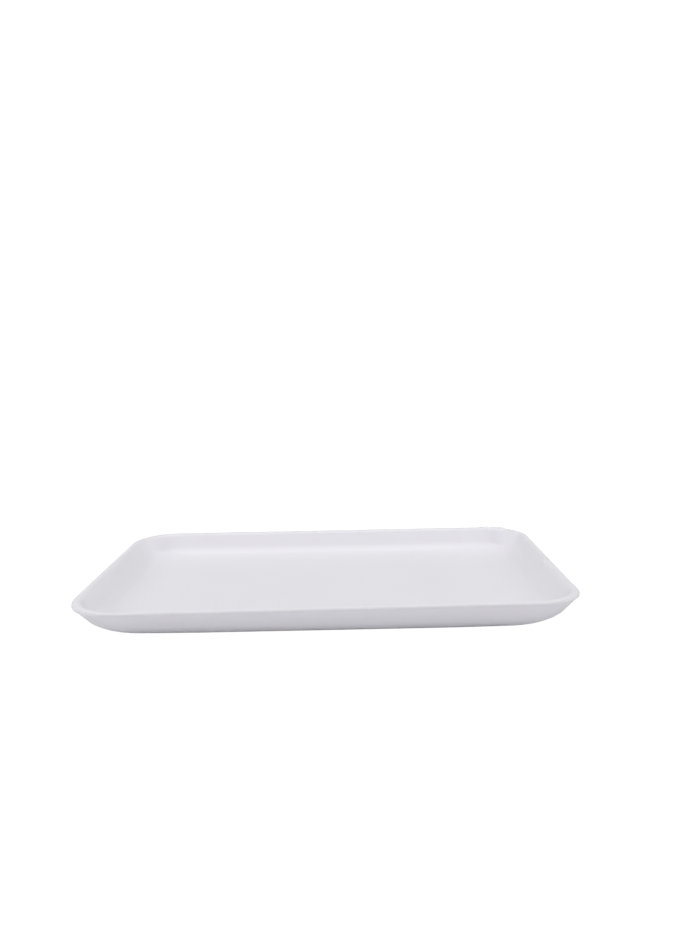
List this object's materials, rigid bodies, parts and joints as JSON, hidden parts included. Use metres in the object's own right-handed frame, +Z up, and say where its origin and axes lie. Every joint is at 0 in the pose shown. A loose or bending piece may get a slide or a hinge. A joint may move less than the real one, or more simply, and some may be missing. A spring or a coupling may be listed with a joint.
{
  "type": "foam meat tray",
  "caption": "Shallow rectangular foam food tray with rounded corners, sloping walls and a flat lip turned outward.",
  "frame": {"origin": "middle of the flat underside, on the surface that the tray stands on", "axes": "+X along the tray's length, +Y across its width, +Z up out of the open side"},
  "size_m": [0.22, 0.141, 0.0145],
  "materials": {
    "white_foam": "closed-cell expanded polystyrene with a smooth satin skin and a fine grain of cells"
  },
  "bodies": {
    "root": {"tray": "white_foam"}
  },
  "joints": []
}
